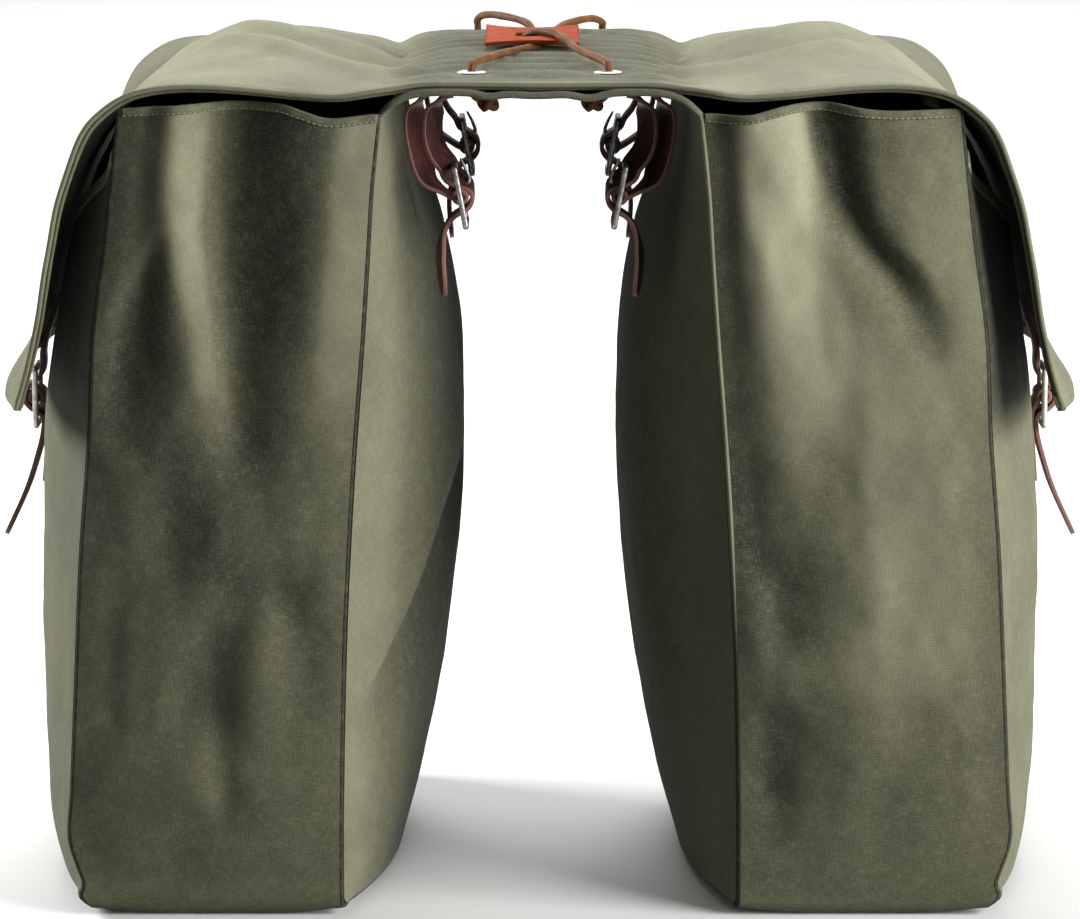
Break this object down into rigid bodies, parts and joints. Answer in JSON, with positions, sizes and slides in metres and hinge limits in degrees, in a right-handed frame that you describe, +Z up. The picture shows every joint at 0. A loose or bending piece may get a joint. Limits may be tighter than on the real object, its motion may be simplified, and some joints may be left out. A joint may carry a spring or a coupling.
{
  "type": "bicycle pannier",
  "caption": "Saddle-type bicycle pannier: stuffed canvas bags hang from a bridge over the rear rack, under a shared lid with buckled leather straps and a laced leather patch.",
  "frame": {"origin": "on the floor that the two bags stand on, midway between them and at mid length", "axes": "+X across the bicycle, to the right in the picture; +Y along the bicycle, away from the camera; +Z up"},
  "size_m": [0.5682, 0.3433, 0.4374],
  "materials": {
    "canvas": "olive waxed cotton canvas, matt, softly creased",
    "piping": "canvas-covered cord, matt",
    "strap_leather": "dark red-brown strap leather with pale cut edges, half matt",
    "lace": "brown round leather lace, half matt",
    "patch_leather": "red-orange leather, half matt, bare",
    "metal": "nickelled steel, slightly worn"
  },
  "bodies": {
    "root": {"eyelet_front_left": "metal", "eyelet_front_right": "metal", "eyelet_rear_left": "metal", "eyelet_rear_right": "metal", "flap_buckle_left": "metal", "flap_buckle_right": "metal", "flap_chape_left": "strap_leather", "flap_chape_right": "strap_leather", "flap_prong_left": "metal", "flap_prong_right": "metal", "flap_strap_left": "strap_leather", "flap_strap_right": "strap_leather", "lace_over": "lace", "lace_patch": "patch_leather", "lace_under": "lace", "left_gusset": "canvas", "left_outer_panel": "canvas", "left_outer_piping": "piping", "lid": "canvas", "rack_buckle_front_left": "metal", "rack_buckle_front_right": "metal", "rack_buckle_rear_left": "metal", "rack_buckle_rear_right": "metal", "rack_chape_front_left": "strap_leather", "rack_chape_front_right": "strap_leather", "rack_chape_rear_left": "strap_leather", "rack_chape_rear_right": "strap_leather", "rack_prong_front_left": "metal", "rack_prong_front_right": "metal", "rack_prong_rear_left": "metal", "rack_prong_rear_right": "metal", "rack_strap_front_left": "strap_leather", "rack_strap_front_right": "strap_leather", "rack_strap_rear_left": "strap_leather", "rack_strap_rear_right": "strap_leather", "right_gusset": "canvas", "right_outer_panel": "canvas", "right_outer_piping": "piping", "saddle": "canvas", "saddle_piping": "piping"}
  },
  "joints": []
}
